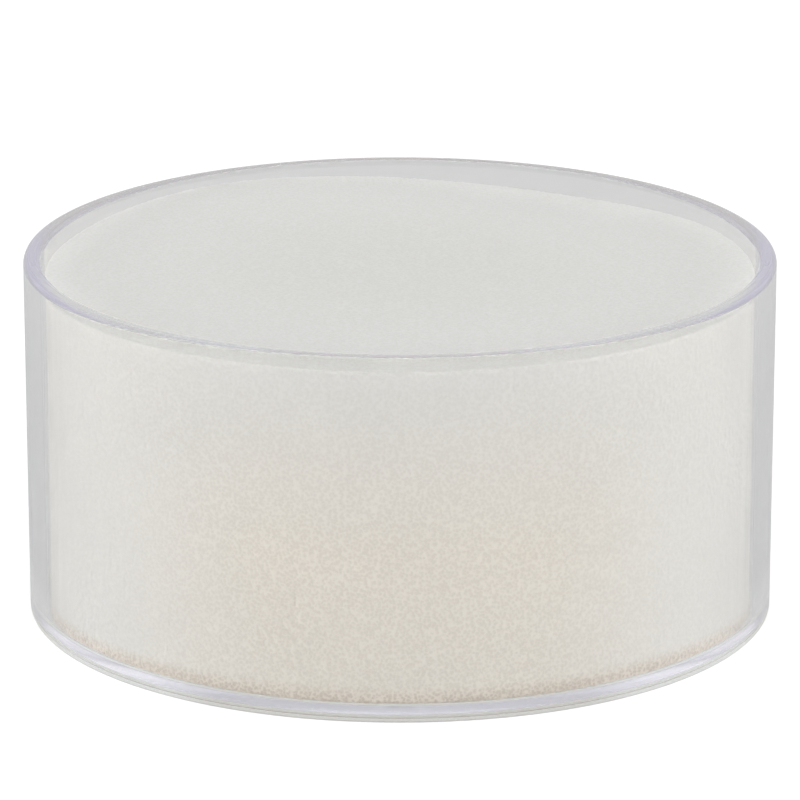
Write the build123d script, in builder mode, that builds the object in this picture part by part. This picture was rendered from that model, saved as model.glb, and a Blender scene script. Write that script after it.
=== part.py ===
"""A finger moistener for the desk: a clear moulded dish with a loose sponge disc in it.

Sizes are in millimetres and angles in degrees. The origin is at the middle of
the underside, on the table, and +Z is the axis of the round dish.
"""

import os
from math import radians, tan

from build123d import *

# Dish, one moulding with a drafted wall that is widest at the rim
rim_diameter = 85.0
dish_height = 41.2
wall_thickness = 2.0
wall_draft = 0.15
floor_thickness = 1.0
rim_flat = 0.5
base_bevel = 0.3
inner_corner_bevel = 0.6

# Underside of the dish: gate mark of the moulding, and the foot ring around it
gate_diameter = 3.0
gate_height = 0.2
gate_clearance = 0.2
foot_width = 2.4

# Sponge, a disc cut from a sheet of open foam
sponge_clearance = 0.3
sponge_drop = 2.0
sponge_top_bevel = 0.5

# The wall leans out by this much for each millimetre of height
lean = tan(radians(wall_draft))
rim_radius = rim_diameter / 2
base_radius = rim_radius - dish_height * lean

# The two rounds of the rim leave a narrow flat between them on top of the wall
rim_round = (wall_thickness - rim_flat) / 2

# The foot ring lifts the gate mark clear of the table
foot_height = gate_height + gate_clearance
floor_top = foot_height + floor_thickness

# The hollow has the lean of the outside, so the wall is even all the way up
bore_rim_radius = rim_radius - wall_thickness
bore_floor_radius = bore_rim_radius - (dish_height - floor_top) * lean

# The foot ring starts where the bevel of the base edge ends
foot_outer_radius = base_radius - base_bevel
foot_inner_radius = foot_outer_radius - foot_width

# The sponge stands on the floor, clear of the wall and of the bevel in the corner
sponge_radius = bore_floor_radius - sponge_clearance
sponge_bottom_bevel = inner_corner_bevel + sponge_clearance
sponge_top = dish_height - sponge_drop


def circles_at(part, radius):
    """The round edges of a turned part that have the given radius."""
    tolerance = 0.001
    rings = part.edges().filter_by(GeomType.CIRCLE)
    return rings.filter_by(lambda ring: abs(ring.radius - radius) < tolerance)


with BuildPart() as dish:
    # Outside of the moulding
    with BuildSketch(Plane.XZ):
        with BuildLine():
            Polyline(
                (0, 0),
                (base_radius, 0),
                (rim_radius, dish_height),
                (0, dish_height),
                close=True,
            )
        make_face()
    revolve(axis=Axis.Z)
    chamfer(circles_at(dish, base_radius), length=base_bevel)

    # Hollow for the sponge, down to the floor
    with BuildSketch(Plane.XZ):
        with BuildLine():
            Polyline(
                (0, floor_top),
                (bore_floor_radius, floor_top),
                (bore_rim_radius, dish_height),
                (0, dish_height),
                close=True,
            )
        make_face()
    revolve(axis=Axis.Z, mode=Mode.SUBTRACT)
    chamfer(circles_at(dish, bore_floor_radius), length=inner_corner_bevel)

    # Both edges of the rim are well rounded, for the finger
    rim_edges = circles_at(dish, rim_radius) + circles_at(dish, bore_rim_radius)
    fillet(rim_edges, radius=rim_round)

    # Shallow hollow underneath, which leaves the foot ring to stand on
    with BuildSketch(Plane.XY):
        Circle(foot_inner_radius)
    extrude(amount=foot_height, mode=Mode.SUBTRACT)

    # Gate mark in the middle of that hollow, short of the table
    with BuildSketch(Plane.XY.offset(foot_height)):
        Circle(gate_diameter / 2)
    extrude(amount=-gate_height)

dish.part.label = "dish"

with BuildPart() as sponge:
    with BuildSketch(Plane.XY.offset(floor_top)):
        Circle(sponge_radius)
    extrude(amount=sponge_top - floor_top)
    chamfer(sponge.edges().group_by(Axis.Z)[-1], length=sponge_top_bevel)
    chamfer(sponge.edges().group_by(Axis.Z)[0], length=sponge_bottom_bevel)

sponge.part.label = "sponge"

os.makedirs("parts", exist_ok=True)
export_step(dish.part, "parts/dish.step")
export_step(sponge.part, "parts/sponge.step")
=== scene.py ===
"""Looks of a finger moistener: a clear moulded dish with an open-cell sponge in it.

All sizes are in metres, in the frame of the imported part. Each piece is made by an
operator, and a panel in the sidebar lists the operators with their settings.
"""

import math

import bpy
import numpy as np
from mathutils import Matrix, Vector


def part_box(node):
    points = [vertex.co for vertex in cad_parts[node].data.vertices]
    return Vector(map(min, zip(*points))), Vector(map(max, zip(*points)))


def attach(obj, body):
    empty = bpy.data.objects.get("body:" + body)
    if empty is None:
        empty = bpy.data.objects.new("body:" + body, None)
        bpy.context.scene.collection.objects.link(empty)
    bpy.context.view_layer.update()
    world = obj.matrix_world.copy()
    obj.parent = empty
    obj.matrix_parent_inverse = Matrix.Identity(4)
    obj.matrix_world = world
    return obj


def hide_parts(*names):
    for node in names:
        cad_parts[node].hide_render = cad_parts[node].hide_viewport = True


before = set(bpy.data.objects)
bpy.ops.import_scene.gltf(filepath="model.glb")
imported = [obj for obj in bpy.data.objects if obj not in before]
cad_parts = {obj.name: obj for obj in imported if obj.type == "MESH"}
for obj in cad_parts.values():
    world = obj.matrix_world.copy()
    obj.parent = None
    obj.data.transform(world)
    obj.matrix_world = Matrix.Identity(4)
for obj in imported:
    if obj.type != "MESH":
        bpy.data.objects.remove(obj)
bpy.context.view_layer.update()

bl_info = {
    "name": "Finger Moistener",
    "version": (1, 0, 0),
    "blender": (4, 5, 0),
    "location": "3D View > Sidebar > Moistener",
    "description": "Builds a clear sponge dish and its studio around the packed frame",
    "category": "Object",
}

DISH_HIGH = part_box("dish")[1]
SPONGE_LOW, SPONGE_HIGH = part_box("sponge")

# Distance within which a point counts as on a ring when edges and faces are picked
CLOSE = 2e-5

# Steps of the rounds: at the rim, at the dish's base and inner corner, at the foot ring and on the foam
RIM_STEPS = 10
BASE_STEPS = 8
FOOT_STEPS = 3
FOAM_STEPS = 4

# Share of the foot ring's height that its inner edge is rounded by
FOOT_ROUND = 1 / 3

# Angle between faces up to which the dish is shaded smooth, and how far its large faces set the shading
SMOOTH_ANGLE = math.radians(40)
LARGE_FACES = 100

# Refractive index of clear polystyrene
PLASTIC_IOR = 1.59

# Flow marks in the plastic: how many to the metre, their detail, their scale along the height,
# which draws them out upright, and the strength and depth of their relief
FLOW_SCALE = 700.0
FLOW_DETAIL = 2.0
FLOW_UPRIGHT = 0.04
FLOW_STRENGTH = 0.008
FLOW_DEPTH = 0.0005

# Share of the dish's height at which the flow marks are full, and how far below the top of the rim they
# start to fade again, in rounds of the rim
FLOW_RISE = 1 / 6
FLOW_DROP = 4

# Soft blotches that the materials share: detail, roughness, and the levels that they spread between
MOTTLE_DETAIL = 4.0
MOTTLE_ROUGHNESS = 0.55
MOTTLE_LOW = 0.3
MOTTLE_HIGH = 0.7

# Blotches in the gloss of each material: how many to the metre, and the least and the most roughness
PLASTIC_HAZE = (120.0, 0.0, 0.035)
FOAM_HAZE = (300.0, 0.85, 1.0)
TABLE_HAZE = (40.0, 0.75, 0.9)

# Where the loose foam stands higher or lower than its cut size: place, reach and amount
UNEVEN_TOP = (
    ((-0.022, 0.033, SPONGE_HIGH.z), 0.030, 0.0009),
    ((0.020, 0.034, SPONGE_HIGH.z), 0.026, -0.0007),
)

# Air that the struts of the sponge's underside leave between it and the floor of the dish
STRUT_TIPS = 0.0001

# Cells of the foam, in sizes of one cell: how many bends there are to it, how far they reach, and the
# distances from its middle at which its struts start and at which it is fully open
CELL_BENDS = 0.7
BEND_REACH = 1.2
STRUTS_START = 0.8
CELL_OPEN = 0.25

# Detail of the noise that bends the cells, and the middle of its range
BEND_DETAIL = 1.0
BEND_MIDDLE = (0.5, 0.5, 0.5)

# Heights above its underside at which the painted shade at the sponge's foot starts to fade, and has
# gone
FOOT_SHADE_FULL = 0.0003
FOOT_SHADE_END = 0.0024

# Share of the foam's height at which its side starts to turn paler
PALE_STARTS = 0.45

# Distances to the left and right of the middle between which a painted reflection turns the foam's side
# paler
FLANK_REFLECTION_STARTS = 0.012
FLANK_REFLECTION_END = 0.034

# Upward share of the surface's direction from which it counts as upper face, and at which it fully does
TOP_STARTS = 0.3
TOP_FULL = 0.8

# Distances in from the foam's edge between which the upper face takes a painted light, warmer band in
# front, and places towards the front between which that starts
TOP_EDGE = 0.001
TOP_INSIDE = 0.006
EDGE_STARTS = -0.012
EDGE_FULL = -0.028

# Distances from the axis between which the painted shade in the middle of the upper face fades out
CENTRE_SHADE_FULL = 0.006
CENTRE_SHADE_END = 0.034

# Softness of the sheen on the foam's cut struts
FUZZ_ROUGHNESS = 0.6

# How the foam is laid out flat: the sharpest turn within a patch, and the gap between patches
UNWRAP_ANGLE = math.radians(60)
UNWRAP_MARGIN = 0.004

# Number of diffuse bounces that a ray has to be past to count as light on the foam
FOAM_BOUNCE = 0.5

# Most times that light may bounce on its way through the clear wall
WALL_BOUNCES = 128

# The ring of light around the table: angles above the horizon at which it starts to fade, and has gone
RING_FULL = math.radians(11)
RING_END = math.radians(14.5)

# The two softboxes behind: how far they stand round from the camera and up, how far out from their
# middle they are even, and where they end
BOX_TURN = math.radians(130)
BOX_RISE = math.radians(20)
BOX_EVEN = math.radians(14)
BOX_END = math.radians(26)

# The softbox overhead: its width and its place
SOFTBOX_WIDTH = 0.7
SOFTBOX_PLACE = (0.0, 0.1, 0.75)

# The table: its radius, its flats around and the grey of its surface
TABLE_RADIUS = 5.0
TABLE_SIDES = 128
TABLE_GREY = 0.25

# Distance from the axis at which the dish stops shading the table
SHADE_END = DISH_HIGH.x

# Distances from the axis at which the bright pool of light on the table starts to fade, and has gone
POOL_FULL = 0.0445
POOL_END = 0.050

# Distances from the axis between which the table grows brighter towards its far end
FAR_STARTS = 0.11
FAR_FULL = 0.17

# Zones of the table around the dish, and the turns from the back, in degrees, between which each is even
TABLE_ZONES = {
    "back": (0, 30),
    "rear": (42, 60),
    "side": (74, 108),
    "corner": (120, 142),
    "front": (150, 180),
}
HALF_TURN = 180


class DishSettings(bpy.types.PropertyGroup):
    """Sizes and finish of the clear dish."""

    rim_radius: bpy.props.FloatProperty(
        name="Rim radius",
        description="Outer radius at the top of the wall",
        default=DISH_HIGH.x,
        unit="LENGTH",
    )
    height: bpy.props.FloatProperty(
        name="Height",
        description="From the table to the top of the rim",
        default=DISH_HIGH.z,
        unit="LENGTH",
    )
    wall: bpy.props.FloatProperty(
        name="Wall",
        description="Thickness of the wall",
        default=0.002,
        unit="LENGTH",
    )
    draft: bpy.props.FloatProperty(
        name="Draft",
        description="Lean of the wall, which is widest at the rim",
        default=math.radians(0.15),
        subtype="ANGLE",
    )
    floor_top: bpy.props.FloatProperty(
        name="Floor height",
        description="Height of the floor that the sponge stands on",
        default=SPONGE_LOW.z,
        unit="LENGTH",
    )
    rim_round: bpy.props.FloatProperty(
        name="Rim round",
        description="Rounding of both edges of the rim",
        default=0.00075,
        unit="LENGTH",
    )
    base_round: bpy.props.FloatProperty(
        name="Base round",
        description="Rounding of the outer edge at the table",
        default=0.0003,
        unit="LENGTH",
    )
    corner_round: bpy.props.FloatProperty(
        name="Corner round",
        description="Rounding between the floor and the wall inside",
        default=0.0006,
        unit="LENGTH",
    )
    foot_width: bpy.props.FloatProperty(
        name="Foot width",
        description="Width of the ring that the dish stands on",
        default=0.0024,
        unit="LENGTH",
    )
    foot_height: bpy.props.FloatProperty(
        name="Foot height",
        description="Depth of the hollow inside the foot ring",
        default=0.0004,
        unit="LENGTH",
    )
    gate_radius: bpy.props.FloatProperty(
        name="Gate radius",
        description="Radius of the mark that the mould's gate leaves underneath",
        default=0.0015,
        unit="LENGTH",
    )
    gate_height: bpy.props.FloatProperty(
        name="Gate height",
        description="How far the gate mark stands out of the hollow",
        default=0.00005,
        unit="LENGTH",
    )
    sides: bpy.props.IntProperty(
        name="Sides",
        description="Flats around the dish",
        default=512,
        min=64,
    )
    tint: bpy.props.FloatVectorProperty(
        name="Tint",
        description="Colour that a long way through the plastic takes on",
        default=(0.70, 0.68, 0.98),
        subtype="COLOR",
        min=0.0,
        max=1.0,
    )
    tint_density: bpy.props.FloatProperty(
        name="Tint density",
        description="How quickly the plastic takes on its tint, per metre",
        default=3.5,
    )


class SpongeSettings(bpy.types.PropertyGroup):
    """Sizes and colours of the sponge."""

    radius: bpy.props.FloatProperty(
        name="Radius",
        description="Outer radius of the disc",
        default=SPONGE_HIGH.x,
        unit="LENGTH",
    )
    bottom: bpy.props.FloatProperty(
        name="Bottom",
        description="Height of the face that stands on the floor of the dish, on the tips of its struts",
        default=SPONGE_LOW.z + STRUT_TIPS,
        unit="LENGTH",
    )
    top: bpy.props.FloatProperty(
        name="Top",
        description="Height of the upper face",
        default=SPONGE_HIGH.z,
        unit="LENGTH",
    )
    edge_round: bpy.props.FloatProperty(
        name="Edge round",
        description="Rounding of the upper edge",
        default=0.00025,
        unit="LENGTH",
    )
    foot_round: bpy.props.FloatProperty(
        name="Foot round",
        description="Rounding of the lower edge, which the floor of the dish presses flat",
        default=0.0002,
        unit="LENGTH",
    )
    sides: bpy.props.IntProperty(
        name="Sides",
        description="Flats around the disc before it gets its even grain",
        default=256,
        min=64,
    )
    grain: bpy.props.FloatProperty(
        name="Grain",
        description="Distance between the points of the mesh",
        default=0.00022,
        unit="LENGTH",
    )
    cell: bpy.props.FloatProperty(
        name="Cell",
        description="Size of the foam's cells",
        default=0.00036,
        unit="LENGTH",
    )
    cell_depth: bpy.props.FloatProperty(
        name="Cell depth",
        description="Depth of the deepest cells that the cut has opened in the side",
        default=0.00009,
        unit="LENGTH",
    )
    top_depth: bpy.props.FloatProperty(
        name="Top depth",
        description="Depth of the deepest cells in the upper face, which fingers have pressed",
        default=0.00006,
        unit="LENGTH",
    )
    top_colour: bpy.props.FloatVectorProperty(
        name="Top colour",
        description="Colour of the foam's upper face",
        default=(0.972, 0.974, 0.95),
        subtype="COLOR",
        min=0.0,
        max=1.0,
    )
    # Painted light: a brighter, warmer band along the front of the upper face's edge
    edge_light_colour: bpy.props.FloatVectorProperty(
        name="Edge colour",
        description="Warmer colour of the upper face along its front edge",
        default=(1.0, 0.995, 0.94),
        subtype="COLOR",
        min=0.0,
        max=1.0,
    )
    # Painted shade in the middle of the upper face, which offsets the brighter light that falls there
    centre_shade_colour: bpy.props.FloatVectorProperty(
        name="Pressed colour",
        description="Colour of the upper face in the middle, where fingers press it",
        default=(0.93, 0.932, 0.898),
        subtype="COLOR",
        min=0.0,
        max=1.0,
    )
    high_colour: bpy.props.FloatVectorProperty(
        name="High colour",
        description="Colour of the foam's side below its upper edge",
        default=(0.91, 0.902, 0.857),
        subtype="COLOR",
        min=0.0,
        max=1.0,
    )
    middle_colour: bpy.props.FloatVectorProperty(
        name="Middle colour",
        description="Warmer colour of the foam's side half-way up",
        default=(0.98, 0.924, 0.818),
        subtype="COLOR",
        min=0.0,
        max=1.0,
    )
    # Painted reflection, which pales the foam's side at the left and right
    flank_reflection_colour: bpy.props.FloatVectorProperty(
        name="Flank colour",
        description="Paler colour of the foam's side at the left and right",
        default=(0.951, 0.935, 0.88),
        subtype="COLOR",
        min=0.0,
        max=1.0,
    )
    low_colour: bpy.props.FloatVectorProperty(
        name="Low colour",
        description="Warmer colour of the foam's side near the floor of the dish",
        default=(0.945, 0.90, 0.805),
        subtype="COLOR",
        min=0.0,
        max=1.0,
    )
    # Painted shade at the foam's foot, where it stands on the floor of the dish
    foot_shade_colour: bpy.props.FloatVectorProperty(
        name="Foot colour",
        description="Colour of the foam where it stands on the floor",
        default=(0.875, 0.79, 0.685),
        subtype="COLOR",
        min=0.0,
        max=1.0,
    )
    pore_shade: bpy.props.FloatVectorProperty(
        name="Pore shade",
        description="What the foam's colour is multiplied by down in open cells",
        default=(0.72, 0.69, 0.65),
        subtype="COLOR",
        min=0.0,
        max=1.0,
    )
    fuzz: bpy.props.FloatProperty(
        name="Fuzz",
        description="How much the cut struts catch light along the surface",
        default=0.2,
        subtype="FACTOR",
        min=0.0,
        max=1.0,
    )
    # More painted shade in the cells at the foam's foot
    foot_pores: bpy.props.FloatProperty(
        name="Foot pores",
        description="Share of that shade that the cells of the foot keep",
        default=0.8,
        subtype="FACTOR",
        min=0.0,
        max=1.0,
    )
    side_pores: bpy.props.FloatProperty(
        name="Side pores",
        description="Share of that shade that the cells of the side keep above the foot",
        default=0.36,
        subtype="FACTOR",
        min=0.0,
        max=1.0,
    )
    # Less painted shade in the cells where the side is palest, high up and under the painted reflection
    # at its flanks
    pale_pores: bpy.props.FloatProperty(
        name="Pale pores",
        description="Share of that shade that the cells keep where the side is palest",
        default=0.14,
        subtype="FACTOR",
        min=0.0,
        max=1.0,
    )
    top_pores: bpy.props.FloatProperty(
        name="Top pores",
        description="Share of that shade that the cells of the upper face keep",
        default=0.22,
        subtype="FACTOR",
        min=0.0,
        max=1.0,
    )


class StudioSettings(bpy.types.PropertyGroup):
    """Camera and light."""

    elevation: bpy.props.FloatProperty(
        name="Elevation",
        description="Angle of the camera above the table",
        default=math.radians(17.0),
        subtype="ANGLE",
    )
    distance: bpy.props.FloatProperty(
        name="Distance",
        description="From the camera to the middle of its view",
        default=0.68,
        unit="LENGTH",
    )
    aim_height: bpy.props.FloatProperty(
        name="Aim height",
        description="Height of the middle of the view above the table",
        default=0.02363,
        unit="LENGTH",
    )
    lens: bpy.props.FloatProperty(
        name="Lens",
        description="Focal length in millimetres on a 36 mm sensor",
        default=268.9,
        unit="CAMERA",
    )
    top_power: bpy.props.FloatProperty(
        name="Overhead light",
        description="Power of the softbox above, in watts",
        default=0.445,
    )
    bare_light: bpy.props.FloatProperty(
        name="Bare light",
        description="Brightness of the ring of light for foam that is clear of the plastic",
        default=1.5,
    )
    bare_ceiling: bpy.props.FloatProperty(
        name="Bare ceiling",
        description="Brightness of the plain room overhead for foam that is clear of the plastic",
        default=0.45,
    )
    low_light: bpy.props.FloatProperty(
        name="Low light",
        description="Brightness of the ring of light around the table for foam behind the plastic",
        default=4.55,
    )
    ceiling: bpy.props.FloatProperty(
        name="Ceiling",
        description="Brightness of the plain room overhead for foam behind the plastic",
        default=0.286,
    )
    room: bpy.props.FloatProperty(
        name="Room",
        description="Brightness of the plain room that shows in and through the plastic",
        default=0.62,
    )
    side_light: bpy.props.FloatProperty(
        name="Side light",
        description="How many times brighter the ring of light is at the two sides",
        default=1.85,
    )
    back_boxes: bpy.props.FloatProperty(
        name="Back boxes",
        description="Brightness of the two softboxes behind, one at each side, which glint in the base",
        default=0.9,
    )
    table_glow: bpy.props.FloatProperty(
        name="Table glow",
        description="Brightness of the table top as it shows in and through the plastic",
        default=0.42,
    )
    far_glow: bpy.props.FloatProperty(
        name="Far glow",
        description="Brightness of the far table top as it shows in and through the plastic",
        default=0.46,
    )
    table_light: bpy.props.FloatProperty(
        name="Table light",
        description="Light that comes up through the table top onto the foam",
        default=0.49,
    )
    front_pool: bpy.props.FloatProperty(
        name="Front pool",
        description="Brightness of the table just in front of the dish",
        default=0.51,
    )
    front_shade: bpy.props.FloatVectorProperty(
        name="Front shade",
        description="Light that comes up from the table under the front of the dish",
        default=(0.505, 0.50, 0.475),
        subtype="COLOR",
        min=0.0,
        max=1.0,
    )
    corner_pool: bpy.props.FloatProperty(
        name="Corner pool",
        description="Brightness of the table just beside the front of the dish, at the left and right",
        default=1.0,
    )
    corner_shade: bpy.props.FloatVectorProperty(
        name="Corner shade",
        description="Light that comes up from the table under the front left and right of the dish",
        default=(0.56, 0.57, 0.55),
        subtype="COLOR",
        min=0.0,
        max=1.0,
    )
    side_pool: bpy.props.FloatProperty(
        name="Side pool",
        description="Brightness of the table just beside the dish",
        default=0.48,
    )
    side_shade: bpy.props.FloatVectorProperty(
        name="Side shade",
        description="Light that comes up from the table under the two sides of the dish",
        default=(0.56, 0.565, 0.525),
        subtype="COLOR",
        min=0.0,
        max=1.0,
    )
    rear_pool: bpy.props.FloatProperty(
        name="Rear pool",
        description="Brightness of the table just behind the dish, at the left and right",
        default=0.63,
    )
    rear_shade: bpy.props.FloatVectorProperty(
        name="Rear shade",
        description="Light that comes up from the table under the rear left and right of the dish",
        default=(0.44, 0.43, 0.495),
        subtype="COLOR",
        min=0.0,
        max=1.0,
    )
    back_pool: bpy.props.FloatProperty(
        name="Back pool",
        description="Brightness of the table just behind the dish",
        default=0.63,
    )
    back_shade: bpy.props.FloatVectorProperty(
        name="Back shade",
        description="Light that comes up from the table under the back of the dish",
        default=(0.445, 0.435, 0.40),
        subtype="COLOR",
        min=0.0,
        max=1.0,
    )
    table_white: bpy.props.FloatProperty(
        name="Table white",
        description="Glow of the table where the camera sees it directly, so that it is pure white",
        default=0.9,
    )


def deselect_all():
    """Goes back to object mode, with nothing selected."""
    if bpy.context.object and bpy.context.object.mode != "OBJECT":
        bpy.ops.object.mode_set(mode="OBJECT")
    bpy.ops.object.select_all(action="DESELECT")


def pick(piece, kind, test):
    """Selects the faces or edges of a piece in edit mode that pass a test on their points."""
    bpy.ops.object.mode_set(mode="EDIT")
    bpy.ops.mesh.select_mode(type=kind)
    bpy.ops.mesh.select_all(action="DESELECT")
    bpy.ops.object.mode_set(mode="OBJECT")
    points = piece.data.vertices
    parts = piece.data.polygons if kind == "FACE" else piece.data.edges
    found = 0
    for part in parts:
        part.select = all(test(points[i].co) for i in part.vertices)
        found += part.select
    if not found:
        raise RuntimeError(f"nothing to pick on {piece.name}")
    bpy.ops.object.mode_set(mode="EDIT")


def on_ring(radius, height):
    """A test for points on a level ring about the axis."""
    def test(point):
        return (
            abs(math.hypot(point.x, point.y) - radius) < CLOSE
            and abs(point.z - height) < CLOSE
        )
    return test


def apply_modifier(piece, name, kind, **values):
    """Adds a modifier with its values, and applies it."""
    modifier = piece.modifiers.new(name, kind)
    for key, value in values.items():
        setattr(modifier, key, value)
    bpy.context.view_layer.objects.active = piece
    bpy.ops.object.modifier_apply(modifier=name)


def new_material(name):
    """A material with an empty node tree and its output."""
    material = bpy.data.materials.new(name)
    material.use_nodes = True
    material.node_tree.nodes.clear()
    output = material.node_tree.nodes.new("ShaderNodeOutputMaterial")
    return material, material.node_tree, output


def add_node(tree, kind, inputs=None, **values):
    """A node of a tree, with plain values on its sockets and links from other nodes' sockets."""
    node = tree.nodes.new(kind)
    for key, value in values.items():
        setattr(node, key, value)
    for key, value in (inputs or {}).items():
        if isinstance(value, bpy.types.NodeSocket):
            tree.links.new(value, node.inputs[key])
        else:
            node.inputs[key].default_value = value
    return node


def maths(tree, operation, *inputs):
    """The value of a maths node, from plain numbers or other nodes' sockets."""
    node = add_node(tree, "ShaderNodeMath", dict(enumerate(inputs)), operation=operation)
    return node.outputs["Value"]


def vector_maths(tree, operation, *inputs):
    """What a vector maths node puts out, from plain vectors or other nodes' sockets."""
    return add_node(tree, "ShaderNodeVectorMath", dict(enumerate(inputs)), operation=operation).outputs


def axes(tree, vector):
    """The three values of a vector, by the names of their axes."""
    return add_node(tree, "ShaderNodeSeparateXYZ", {"Vector": vector}).outputs


def fade(tree, value, start, end, low=0.0, high=1.0, smooth=False):
    """Goes from a low to a high level while a value goes from a start to an end."""
    return add_node(
        tree,
        "ShaderNodeMapRange",
        {"Value": value, "From Min": start, "From Max": end, "To Min": low, "To Max": high},
        interpolation_type="SMOOTHSTEP" if smooth else "LINEAR",
    ).outputs["Result"]


def mix(tree, factor, first, second, data_type="RGBA", blend_type="MIX"):
    """Blends from a first colour or number to a second one."""
    return add_node(
        tree,
        "ShaderNodeMix",
        {"Factor": factor, "A": first, "B": second},
        data_type=data_type,
        blend_type=blend_type,
    ).outputs["Result"]


def ramp(tree, value, colours):
    """Blends colours into each other along a value, from one given value to the next."""
    node = add_node(tree, "ShaderNodeValToRGB", {"Fac": value})
    stops = node.color_ramp.elements
    while len(stops) < len(colours):
        stops.new(1.0)
    for stop, (place, colour) in zip(stops, colours.items()):
        stop.position = place
        stop.color = colour
    return node.outputs["Color"]


def opaque(colour):
    """A colour with its alpha."""
    return (*colour, 1.0)


def grey(level):
    """A grey of one level, with its alpha."""
    return (level, level, level, 1.0)


def mottle_group():
    """Soft blotches between two values, shared by the foam, the plastic and the table."""
    group = bpy.data.node_groups.get("Mottle")
    if group:
        return group
    group = bpy.data.node_groups.new("Mottle", "ShaderNodeTree")
    face = group.interface
    face.new_socket("Vector", in_out="INPUT", socket_type="NodeSocketVector")
    for name in ("Scale", "Low", "High"):
        face.new_socket(name, in_out="INPUT", socket_type="NodeSocketFloat")
    face.new_socket("Value", in_out="OUTPUT", socket_type="NodeSocketFloat")
    entry = group.nodes.new("NodeGroupInput").outputs
    leave = group.nodes.new("NodeGroupOutput")
    noise = add_node(
        group,
        "ShaderNodeTexNoise",
        {
            "Vector": entry["Vector"],
            "Scale": entry["Scale"],
            "Detail": MOTTLE_DETAIL,
            "Roughness": MOTTLE_ROUGHNESS,
        },
    )
    blotches = fade(
        group,
        noise.outputs["Fac"],
        MOTTLE_LOW,
        MOTTLE_HIGH,
        entry["Low"],
        entry["High"],
        smooth=True,
    )
    group.links.new(blotches, leave.inputs["Value"])
    return group


def mottle(tree, vector, scale, low, high):
    """The shared blotches in a material, with its own scale and values."""
    return add_node(
        tree,
        "ShaderNodeGroup",
        {"Vector": vector, "Scale": scale, "Low": low, "High": high},
        node_tree=mottle_group(),
    ).outputs["Value"]


def pores(tree, place, size):
    """How far the foam has opened at a point: 0 on its struts, up to 1 in the middle of a cell."""
    bend = add_node(
        tree,
        "ShaderNodeTexNoise",
        {"Vector": place, "Scale": CELL_BENDS / size.cell, "Detail": BEND_DETAIL},
    )
    centred = vector_maths(tree, "SUBTRACT", bend.outputs["Color"], BEND_MIDDLE)["Vector"]
    reach = (BEND_REACH * size.cell,) * 3
    bent = vector_maths(tree, "MULTIPLY_ADD", centred, reach, place)["Vector"]
    cell = add_node(
        tree,
        "ShaderNodeTexVoronoi",
        {"Vector": bent, "Scale": 1.0 / size.cell},
        feature="F1",
    )
    return fade(tree, cell.outputs["Distance"], STRUTS_START, CELL_OPEN, smooth=True)


def open_cells(size):
    """Geometry nodes that sink every cell that the cut has opened, between its struts."""
    group = bpy.data.node_groups.new("open_cells", "GeometryNodeTree")
    group.is_modifier = True
    group.interface.new_socket("Geometry", in_out="INPUT", socket_type="NodeSocketGeometry")
    group.interface.new_socket("Geometry", in_out="OUTPUT", socket_type="NodeSocketGeometry")
    entry = group.nodes.new("NodeGroupInput")
    leave = group.nodes.new("NodeGroupOutput")
    place = add_node(group, "GeometryNodeInputPosition").outputs["Position"]
    normal = add_node(group, "GeometryNodeInputNormal").outputs["Normal"]
    keep_place = add_node(
        group,
        "GeometryNodeStoreNamedAttribute",
        {"Geometry": entry.outputs["Geometry"], "Name": "cut_place", "Value": place},
        data_type="FLOAT_VECTOR",
        domain="POINT",
    )
    facing = axes(group, normal)
    depth = fade(group, facing["Z"], TOP_STARTS, TOP_FULL, -size.cell_depth, -size.top_depth)
    push = maths(group, "MULTIPLY", pores(group, place, size), depth)
    offset = add_node(
        group,
        "ShaderNodeVectorMath",
        {"Vector": normal, "Scale": push},
        operation="SCALE",
    )
    moved = add_node(
        group,
        "GeometryNodeSetPosition",
        {"Geometry": keep_place.outputs["Geometry"], "Offset": offset.outputs["Vector"]},
    )
    group.links.new(moved.outputs["Geometry"], leave.inputs["Geometry"])
    return group


def flow_marks(tree, settings, place):
    """The surface's direction with faint upright flow marks, clear of the base and the rim."""
    upright = add_node(tree, "ShaderNodeMapping", {"Vector": place, "Scale": (1.0, 1.0, FLOW_UPRIGHT)})
    streaks = add_node(
        tree,
        "ShaderNodeTexNoise",
        {"Vector": upright.outputs["Vector"], "Scale": FLOW_SCALE, "Detail": FLOW_DETAIL},
    )
    height = axes(tree, place)["Z"]
    corner_top = settings.floor_top + settings.corner_round
    above_base = fade(tree, height, corner_top, settings.height * FLOW_RISE)
    rim_foot = settings.height - settings.rim_round
    fade_starts = settings.height - FLOW_DROP * settings.rim_round
    on_wall = fade(tree, height, rim_foot, fade_starts, high=above_base)
    relief = maths(tree, "MULTIPLY", streaks.outputs["Fac"], on_wall)
    return add_node(
        tree,
        "ShaderNodeBump",
        {"Height": relief, "Strength": FLOW_STRENGTH, "Distance": FLOW_DEPTH},
    ).outputs["Normal"]


def clear_plastic(settings):
    """Clear polystyrene with faint flow marks, handling haze and a lavender depth."""
    material, tree, output = new_material("clear_polystyrene")
    place = add_node(tree, "ShaderNodeTexCoord").outputs["Object"]
    shader = add_node(
        tree,
        "ShaderNodeBsdfPrincipled",
        {
            "Base Color": grey(1.0),
            "Roughness": mottle(tree, place, *PLASTIC_HAZE),
            "IOR": PLASTIC_IOR,
            "Transmission Weight": 1.0,
            "Normal": flow_marks(tree, settings, place),
        },
    )
    depth = add_node(
        tree,
        "ShaderNodeVolumeAbsorption",
        {"Color": opaque(settings.tint), "Density": settings.tint_density},
    )
    tree.links.new(shader.outputs["BSDF"], output.inputs["Surface"])
    tree.links.new(depth.outputs["Volume"], output.inputs["Volume"])
    return material


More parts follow.
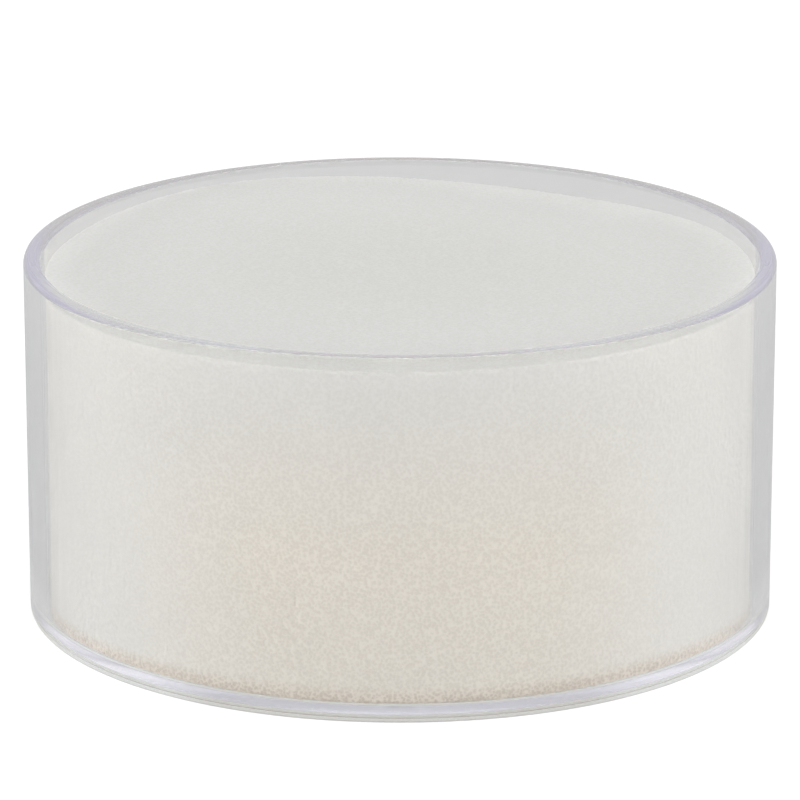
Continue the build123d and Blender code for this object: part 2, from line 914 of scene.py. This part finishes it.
def side_of_foam(tree, settings, spot, flank_reflection, above_foot_shade):
    """Colour of the foam's side: warmest half-way up, with a painted reflection that pales its flanks
    and painted shade at its foot.
    """
    tones = {
        0.0: opaque(settings.low_colour),
        PALE_STARTS: opaque(settings.middle_colour),
        1.0: opaque(settings.high_colour),
    }
    tone = ramp(tree, fade(tree, spot["Z"], settings.bottom, settings.top), tones)
    # Painted reflection at the flanks
    flanked = mix(tree, flank_reflection, tone, opaque(settings.flank_reflection_colour))
    # Painted shade at the foam's foot
    return mix(tree, above_foot_shade, opaque(settings.foot_shade_colour), flanked)


def top_of_foam(tree, settings, place, spot):
    """Colour of the foam's upper face, with painted shade in the middle and a painted light, warmer band
    along its front edge.
    """
    level = vector_maths(tree, "MULTIPLY", place, (1.0, 1.0, 0.0))["Vector"]
    out = vector_maths(tree, "LENGTH", level)["Value"]
    out_of_centre_shade = fade(tree, out, CENTRE_SHADE_FULL, CENTRE_SHADE_END, smooth=True)
    # Painted shade in the middle of the upper face
    pressed = mix(tree, out_of_centre_shade, opaque(settings.centre_shade_colour), opaque(settings.top_colour))
    forward = fade(tree, spot["Y"], EDGE_STARTS, EDGE_FULL)
    edge_inside = settings.radius - TOP_INSIDE
    edge_outside = settings.radius - TOP_EDGE
    # Painted light along the front of the upper face's edge
    edge = fade(tree, out, edge_inside, edge_outside, high=forward, smooth=True)
    return mix(tree, edge, pressed, opaque(settings.edge_light_colour))


def pore_share(tree, settings, spot, flank_reflection, above_foot_shade, upper_face):
    """How much the painted shade in the cells shows: most at the foot, and least where the side is
    palest, high up and under the painted reflection at its flanks.
    """
    rise_starts = settings.bottom + PALE_STARTS * (settings.top - settings.bottom)
    rise = fade(tree, spot["Z"], rise_starts, settings.top)
    pale = maths(tree, "MAXIMUM", rise, flank_reflection)
    above = fade(tree, pale, 0.0, 1.0, settings.side_pores, settings.pale_pores)
    side = fade(tree, above_foot_shade, 0.0, 1.0, settings.foot_pores, above)
    return mix(tree, upper_face, side, settings.top_pores, data_type="FLOAT")


def open_foam(settings):
    """Cream foam, paler on top and warmer below; painted shade in its cells, at its foot and mid-top,
    painted light at its front edge, a painted reflection at its flanks.
    """
    material, tree, output = new_material("open_cell_foam")
    coordinates = add_node(tree, "ShaderNodeTexCoord").outputs
    place = coordinates["Object"]
    spot = axes(tree, place)
    flank_reflection = fade(tree, maths(tree, "ABSOLUTE", spot["X"]), FLANK_REFLECTION_STARTS, FLANK_REFLECTION_END, smooth=True)
    foot_fades = settings.bottom + FOOT_SHADE_FULL
    foot_ends = settings.bottom + FOOT_SHADE_END
    above_foot_shade = fade(tree, spot["Z"], foot_fades, foot_ends, smooth=True)
    upper_face = fade(tree, axes(tree, coordinates["Normal"])["Z"], TOP_STARTS, TOP_FULL, smooth=True)
    colour = mix(
        tree,
        upper_face,
        side_of_foam(tree, settings, spot, flank_reflection, above_foot_shade),
        top_of_foam(tree, settings, place, spot),
    )
    cut = add_node(tree, "ShaderNodeAttribute", attribute_name="cut_place")
    hollow = maths(
        tree,
        "MULTIPLY",
        pores(tree, cut.outputs["Vector"], settings),
        pore_share(tree, settings, spot, flank_reflection, above_foot_shade, upper_face),
    )
    shader = add_node(
        tree,
        "ShaderNodeBsdfPrincipled",
        {
            "Base Color": mix(tree, hollow, colour, opaque(settings.pore_shade), blend_type="MULTIPLY"),
            "Roughness": mottle(tree, place, *FOAM_HAZE),
            "Sheen Weight": settings.fuzz,
            "Sheen Roughness": FUZZ_ROUGHNESS,
        },
    )
    tree.links.new(shader.outputs["BSDF"], output.inputs["Surface"])
    return material


def foam_light(tree, rays):
    """1 for the rays that light the foam, and 0 for those that are seen in and through the plastic."""
    return maths(tree, "GREATER_THAN", rays["Diffuse Depth"], FOAM_BOUNCE)


def round_dish(tree, place):
    """How far round the dish a point of the table lies, from 0 at the back to 1 in front."""
    heading = vector_maths(tree, "NORMALIZE", place)["Vector"]
    turn = maths(tree, "ARCCOSINE", axes(tree, heading)["Y"])
    return fade(tree, turn, 0.0, math.pi)


def table_shown(tree, settings, place):
    """What the plastic shows of the table: shade under the dish, and pools of light around it."""
    turn = round_dish(tree, place)
    pools, shades = {}, {}
    for zone, ends in TABLE_ZONES.items():
        for end in ends:
            pools[end / HALF_TURN] = grey(getattr(settings, zone + "_pool"))
            shades[end / HALF_TURN] = opaque(getattr(settings, zone + "_shade"))
    away = vector_maths(tree, "LENGTH", place)["Value"]
    farther = fade(tree, away, FAR_STARTS, FAR_FULL, settings.table_glow, settings.far_glow)
    around = fade(tree, away, POOL_FULL, POOL_END, ramp(tree, turn, pools), farther, smooth=True)
    under = maths(tree, "LESS_THAN", away, SHADE_END)
    return mix(tree, under, around, ramp(tree, turn, shades))


def table_top(settings):
    """A white light table, which is exposed to pure white where the camera sees it directly."""
    material, tree, output = new_material("light_table")
    material.cycles.emission_sampling = "NONE"
    place = add_node(tree, "ShaderNodeTexCoord").outputs["Object"]
    rays = add_node(tree, "ShaderNodeLightPath").outputs
    shown = table_shown(tree, settings, place)
    lit = mix(tree, foam_light(tree, rays), shown, grey(settings.table_light))
    seen = mix(tree, rays["Is Camera Ray"], lit, grey(settings.table_white))
    shader = add_node(
        tree,
        "ShaderNodeBsdfPrincipled",
        {
            "Base Color": grey(TABLE_GREY),
            "Roughness": mottle(tree, place, *TABLE_HAZE),
            "Specular IOR Level": 0.0,
            "Emission Color": seen,
            "Emission Strength": 1.0,
        },
    )
    tree.links.new(shader.outputs["BSDF"], output.inputs["Surface"])
    return material


def room_light(tree, settings, aim, rays):
    """How the room lights the foam: a low ring, brighter at both sides, under a plain ceiling."""
    through_plastic = rays["Transmission Depth"]
    low = fade(tree, through_plastic, 0.0, 1.0, settings.bare_light, settings.low_light)
    high = fade(tree, through_plastic, 0.0, 1.0, settings.bare_ceiling, settings.ceiling)
    towards = axes(tree, aim)
    ring = fade(tree, towards["Z"], math.sin(RING_FULL), math.sin(RING_END), low, high)
    aside = maths(tree, "ABSOLUTE", towards["X"])
    return maths(tree, "MULTIPLY", ring, fade(tree, aside, 0.0, 1.0, 1.0, settings.side_light))


def room_shown(tree, settings, aim):
    """What the plastic shows of the room: plain walls, with a softbox behind at each side."""
    towards = axes(tree, aim)
    folded = add_node(
        tree,
        "ShaderNodeCombineXYZ",
        {"X": maths(tree, "ABSOLUTE", towards["X"]), "Y": towards["Y"], "Z": towards["Z"]},
    )
    box_aim = Vector((math.sin(BOX_TURN), -math.cos(BOX_TURN), math.tan(BOX_RISE))).normalized()
    near_box = vector_maths(tree, "DOT_PRODUCT", folded.outputs["Vector"], box_aim)["Value"]
    return fade(
        tree,
        near_box,
        math.cos(BOX_END),
        math.cos(BOX_EVEN),
        settings.room,
        settings.back_boxes,
        smooth=True,
    )


class MOISTENER_OT_dish(bpy.types.Operator):
    """Models the clear dish in place of its plain solid"""

    bl_idname = "moistener.dish"
    bl_label = "Clear Dish"

    def execute(self, context):
        size = context.scene.moistener_dish
        lean = math.tan(size.draft)
        base_radius = size.rim_radius - size.height * lean
        bore_top = size.rim_radius - size.wall
        bore_floor = bore_top - (size.height - size.floor_top) * lean
        foot_inner = base_radius - size.base_round - size.foot_width
        deselect_all()
        bpy.ops.mesh.primitive_cylinder_add(
            vertices=size.sides,
            radius=base_radius,
            depth=size.height,
            location=(0.0, 0.0, size.height / 2),
        )
        dish = context.object
        dish.name = dish.data.name = "clear_dish"
        bpy.ops.object.transform_apply(location=True, rotation=True, scale=True)

        # The rim is wider than the base, and the hollow goes down to the floor
        pick(dish, "FACE", on_ring(base_radius, size.height))
        self.spread(size.rim_radius / base_radius)
        bpy.ops.mesh.inset(thickness=size.wall)
        self.rise(size.floor_top - size.height)
        self.spread(bore_floor / bore_top)

        # Underneath, a shallow hollow leaves the foot ring, with the gate mark in the middle
        pick(dish, "FACE", on_ring(base_radius, 0.0))
        bpy.ops.mesh.inset(thickness=base_radius - foot_inner)
        self.rise(size.foot_height)
        bpy.ops.mesh.inset(thickness=foot_inner - size.gate_radius)
        self.rise(-size.gate_height)

        for ring, width, steps in (
            (on_ring(base_radius, 0.0), size.base_round, BASE_STEPS),
            (on_ring(bore_floor, size.floor_top), size.corner_round, BASE_STEPS),
            (on_ring(size.rim_radius, size.height), size.rim_round, RIM_STEPS),
            (on_ring(bore_top, size.height), size.rim_round, RIM_STEPS),
            (on_ring(foot_inner, 0.0), size.foot_height * FOOT_ROUND, FOOT_STEPS),
        ):
            pick(dish, "EDGE", ring)
            bpy.ops.mesh.bevel(offset=width, segments=steps, affect="EDGES")
        deselect_all()
        dish.select_set(True)
        context.view_layer.objects.active = dish
        bpy.ops.object.shade_smooth_by_angle(angle=SMOOTH_ANGLE)
        apply_modifier(dish, "Flat faces", "WEIGHTED_NORMAL", keep_sharp=True, weight=LARGE_FACES)
        dish.data.materials.clear()
        dish.data.materials.append(clear_plastic(size))
        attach(dish, "dish")
        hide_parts("dish")
        return {"FINISHED"}

    @staticmethod
    def spread(factor):
        """Scales what is selected about the axis."""
        bpy.ops.transform.resize(value=(factor, factor, 1.0), center_override=(0.0, 0.0, 0.0))

    @staticmethod
    def rise(amount):
        """Extrudes what is selected up or down."""
        bpy.ops.mesh.extrude_region_move(TRANSFORM_OT_translate={"value": (0.0, 0.0, amount)})


class MOISTENER_OT_sponge(bpy.types.Operator):
    """Models the sponge with its open cells in place of the plain solid"""

    bl_idname = "moistener.sponge"
    bl_label = "Sponge"

    def execute(self, context):
        size = context.scene.moistener_sponge
        thickness = size.top - size.bottom
        deselect_all()
        bpy.ops.mesh.primitive_cylinder_add(
            vertices=size.sides,
            radius=size.radius,
            depth=thickness,
            location=(0.0, 0.0, size.bottom + thickness / 2),
        )
        sponge = context.object
        sponge.name = sponge.data.name = "foam_disc"
        bpy.ops.object.transform_apply(location=True, rotation=True, scale=True)
        for height, width in ((size.bottom, size.foot_round), (size.top, size.edge_round)):
            pick(sponge, "EDGE", on_ring(size.radius, height))
            bpy.ops.mesh.bevel(offset=width, segments=FOAM_STEPS, affect="EDGES")
        deselect_all()
        apply_modifier(
            sponge, "Even grain", "REMESH", mode="VOXEL", voxel_size=size.grain, use_smooth_shade=True
        )
        self.unwrap(sponge)
        for place, reach, amount in UNEVEN_TOP:
            self.pull(sponge, place, reach, amount)
        apply_modifier(sponge, "Open cells", "NODES", node_group=open_cells(size))
        sponge.data.materials.clear()
        sponge.data.materials.append(open_foam(size))
        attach(sponge, "sponge")
        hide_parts("sponge")
        return {"FINISHED"}

    @staticmethod
    def pull(sponge, place, reach, amount):
        """Raises or lowers the soft foam around one point of its upper face."""
        points = np.empty(len(sponge.data.vertices) * 3)
        sponge.data.vertices.foreach_get("co", points)
        gaps = np.linalg.norm(points.reshape(-1, 3) - place, axis=1)
        bpy.ops.object.mode_set(mode="EDIT")
        bpy.ops.mesh.select_mode(type="VERT")
        bpy.ops.mesh.select_all(action="DESELECT")
        bpy.ops.object.mode_set(mode="OBJECT")
        sponge.data.vertices[int(gaps.argmin())].select = True
        bpy.ops.object.mode_set(mode="EDIT")
        bpy.ops.transform.translate(
            value=(0.0, 0.0, amount),
            use_proportional_edit=True,
            proportional_edit_falloff="SMOOTH",
            proportional_size=reach,
        )
        bpy.ops.object.mode_set(mode="OBJECT")

    @staticmethod
    def unwrap(sponge):
        """Lays the smooth disc out flat before its cells are opened."""
        sponge.data.uv_layers.new(name="OFBake")
        sponge.select_set(True)
        bpy.ops.object.mode_set(mode="EDIT")
        bpy.ops.mesh.select_all(action="SELECT")
        bpy.ops.uv.smart_project(angle_limit=UNWRAP_ANGLE, island_margin=UNWRAP_MARGIN)
        bpy.ops.object.mode_set(mode="OBJECT")


class MOISTENER_OT_studio(bpy.types.Operator):
    """Sets up the table, the soft lights and the camera"""

    bl_idname = "moistener.studio"
    bl_label = "Studio"

    def execute(self, context):
        settings = context.scene.moistener_studio
        deselect_all()
        bpy.ops.mesh.primitive_circle_add(vertices=TABLE_SIDES, radius=TABLE_RADIUS, fill_type="NGON")
        table = context.object
        table.name = table.data.name = "table_top"
        table.data.materials.append(table_top(settings))
        self.room(context.scene, settings)
        self.softbox("overhead_softbox", settings.top_power, SOFTBOX_WIDTH, SOFTBOX_PLACE)
        self.camera(context.scene, settings)
        self.light_paths(context.scene)
        context.scene.view_settings.view_transform = "Standard"
        context.scene.view_settings.look = "None"
        return {"FINISHED"}

    @staticmethod
    def light_paths(scene):
        """Lets light run the whole way through the clear wall, which it crosses many times."""
        scene.cycles.max_bounces = WALL_BOUNCES
        scene.cycles.glossy_bounces = WALL_BOUNCES
        scene.cycles.transmission_bounces = WALL_BOUNCES

    @staticmethod
    def room(scene, settings):
        """A plain pale room, which the camera sees as white."""
        world = bpy.data.worlds.new("plain_room")
        world.use_nodes = True
        world.cycles.sampling_method = "NONE"
        scene.world = world
        tree = world.node_tree
        tree.nodes.clear()
        output = tree.nodes.new("ShaderNodeOutputWorld")
        aim = add_node(tree, "ShaderNodeTexCoord").outputs["Generated"]
        rays = add_node(tree, "ShaderNodeLightPath").outputs
        lit = mix(
            tree,
            foam_light(tree, rays),
            room_shown(tree, settings, aim),
            room_light(tree, settings, aim, rays),
            data_type="FLOAT",
        )
        seen = mix(tree, rays["Is Camera Ray"], lit, 1.0, data_type="FLOAT")
        background = add_node(tree, "ShaderNodeBackground", {"Color": grey(1.0), "Strength": seen})
        tree.links.new(background.outputs["Background"], output.inputs["Surface"])

    @staticmethod
    def softbox(name, power, width, place):
        """A square soft light that faces the dish."""
        bpy.ops.object.light_add(type="AREA", location=place)
        lamp = bpy.context.object
        lamp.name = lamp.data.name = name
        lamp.data.energy = power
        lamp.data.size = width
        lamp.rotation_euler = (-lamp.location).to_track_quat("-Z", "Y").to_euler()

    @staticmethod
    def camera(scene, settings):
        """The camera, in front of the dish and a little above it."""
        back = settings.distance * math.cos(settings.elevation)
        up = settings.distance * math.sin(settings.elevation)
        bpy.ops.object.camera_add(
            location=(0.0, -back, settings.aim_height + up),
            rotation=(math.pi / 2 - settings.elevation, 0.0, 0.0),
        )
        camera = bpy.context.object
        camera.name = camera.data.name = "product_camera"
        camera.data.lens = settings.lens
        scene.camera = camera


class MOISTENER_PT_panel(bpy.types.Panel):
    """Lists the pieces and their settings"""

    bl_label = "Finger Moistener"
    bl_idname = "MOISTENER_PT_panel"
    bl_space_type = "VIEW_3D"
    bl_region_type = "UI"
    bl_category = "Moistener"

    def draw(self, context):
        for operator, group in PIECES:
            box = self.layout.box()
            box.operator(operator.bl_idname)
            settings = getattr(context.scene, group)
            for name in settings.bl_rna.properties.keys():
                if name not in ("rna_type", "name"):
                    box.prop(settings, name)


SETTINGS = {
    "moistener_dish": DishSettings,
    "moistener_sponge": SpongeSettings,
    "moistener_studio": StudioSettings,
}
PIECES = (
    (MOISTENER_OT_dish, "moistener_dish"),
    (MOISTENER_OT_sponge, "moistener_sponge"),
    (MOISTENER_OT_studio, "moistener_studio"),
)
CLASSES = (*SETTINGS.values(), *(operator for operator, _ in PIECES), MOISTENER_PT_panel)


def register():
    """Adds the classes and their settings to Blender."""
    for cls in CLASSES:
        bpy.utils.register_class(cls)
    for name, group in SETTINGS.items():
        setattr(bpy.types.Scene, name, bpy.props.PointerProperty(type=group))


def unregister():
    """Takes the settings and the classes out of Blender again."""
    for name in SETTINGS:
        delattr(bpy.types.Scene, name)
    for cls in reversed(CLASSES):
        bpy.utils.unregister_class(cls)


def main():
    """Registers the add-on, and builds the pieces and the studio."""
    register()
    bpy.ops.moistener.dish()
    bpy.ops.moistener.sponge()
    bpy.ops.moistener.studio()


if __name__ == "__main__":
    main()
